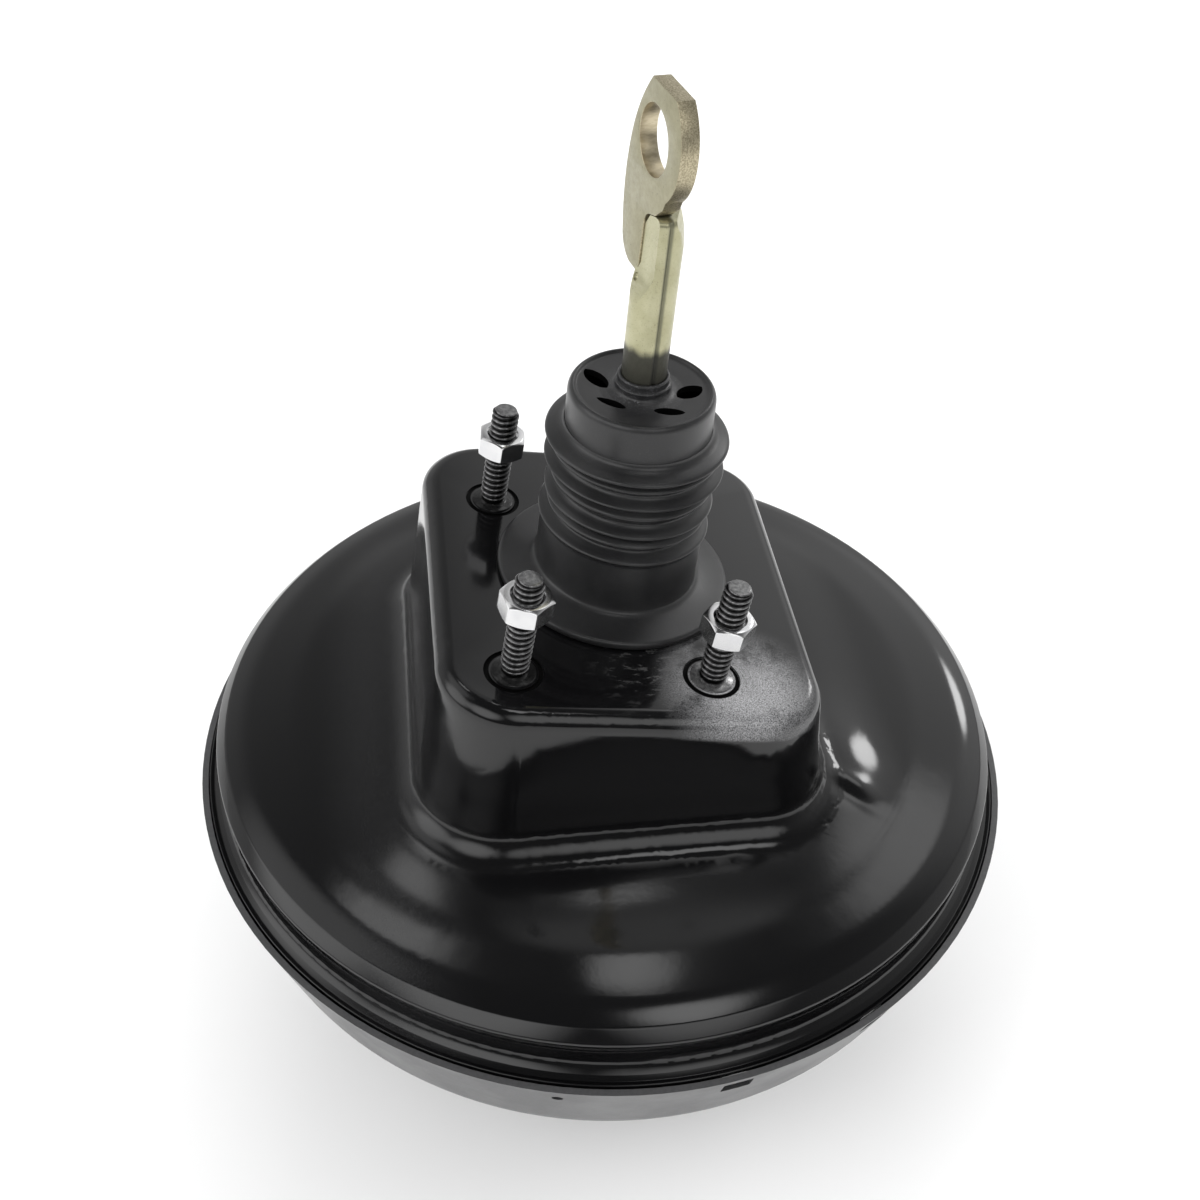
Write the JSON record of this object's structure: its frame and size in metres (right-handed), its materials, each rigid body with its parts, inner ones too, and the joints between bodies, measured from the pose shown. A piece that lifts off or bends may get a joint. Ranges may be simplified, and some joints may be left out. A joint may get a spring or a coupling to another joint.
{
  "type": "brake booster",
  "caption": "Vacuum brake booster: black domed pressed shell with a square raised firewall face, studs and nuts, ribbed rubber boot and a pushrod ending in a flat pedal eye.",
  "frame": {"origin": "centre of the master-cylinder mounting face, on the shell axis", "axes": "+Z along the shell axis from the master cylinder towards the pedal; X along the short side of the raised firewall tower (+X is the side the face leans down to), Y along its long side"},
  "size_m": [0.2572, 0.2572, 0.3158],
  "materials": {
    "black_paint": "gloss",
    "band_steel": "satin",
    "plate_steel": "satin",
    "seal_rubber": "matte",
    "zinc_steel": "satin",
    "black_steel": "satin",
    "phenolic": "matte",
    "spring_steel": "satin",
    "valve_plastic": "matte",
    "aluminium": "satin",
    "yellow_zinc": "satin",
    "eye_steel": "satin",
    "foam": "matte",
    "boot_rubber": "satin"
  },
  "bodies": {
    "shell": {"rear_shell": "black_paint", "front_shell": "band_steel", "front_reinforcement": "plate_steel", "front_seal": "seal_rubber", "mc_studs": "zinc_steel", "rear_reinforcement": "plate_steel", "firewall_studs": "black_steel", "firewall_nuts": "zinc_steel", "neck_bearing": "phenolic", "neck_seal": "seal_rubber", "seal_retainer": "plate_steel", "main_return_spring": "spring_steel", "diaphragm": "seal_rubber", "check_valve_grommet": "seal_rubber", "check_valve_case": "valve_plastic", "check_valve_spring": "spring_steel", "dust_boot": "boot_rubber"},
    "piston": {"valve_body": "phenolic", "diaphragm_plate": "plate_steel", "reaction_disc": "seal_rubber", "output_rod": "plate_steel", "output_rod_screw": "zinc_steel", "output_rod_clip": "spring_steel", "stop_key": "spring_steel", "poppet": "seal_rubber", "poppet_retainer": "plate_steel", "poppet_spring": "spring_steel", "filter_retainer": "valve_plastic", "air_filter": "foam"},
    "plunger": {"valve_plunger": "aluminium"},
    "pushrod": {"pushrod": "yellow_zinc", "pedal_eye": "eye_steel", "spring_washer": "plate_steel", "input_return_spring": "spring_steel"},
    "check_disc": {"check_valve_disc": "seal_rubber"}
  },
  "joints": [
    {"name": "piston_stroke", "type": "slide", "parent": "shell", "child": "piston", "axis": [0, 0, -1], "range_m": [0, 0.034], "stiffness_N_per_m": 2500, "springref_m": -0.045, "deforming": ["main_return_spring", "diaphragm", "dust_boot"]},
    {"name": "air_valve_stroke", "type": "slide", "parent": "piston", "child": "plunger", "axis": [0, 0, -1], "range_m": [0, 0.0015], "stiffness_N_per_m": 3000, "springref_m": -0.01, "deforming": ["input_return_spring", "air_filter"]},
    {"name": "pushrod_tilt", "type": "hinge", "parent": "plunger", "child": "pushrod", "pos_m": [0, 0, 0.085], "axis": [1, 0, 0], "range_deg": [-2.5, 2.5], "stiffness_Nm_per_rad": 3},
    {"name": "check_valve_lift", "type": "slide", "parent": "shell", "child": "check_disc", "axis": [0, 0.1821, -0.9833], "range_m": [0, 0.002], "stiffness_N_per_m": 150, "springref_m": -0.003, "deforming": ["check_valve_spring"]}
  ]
}
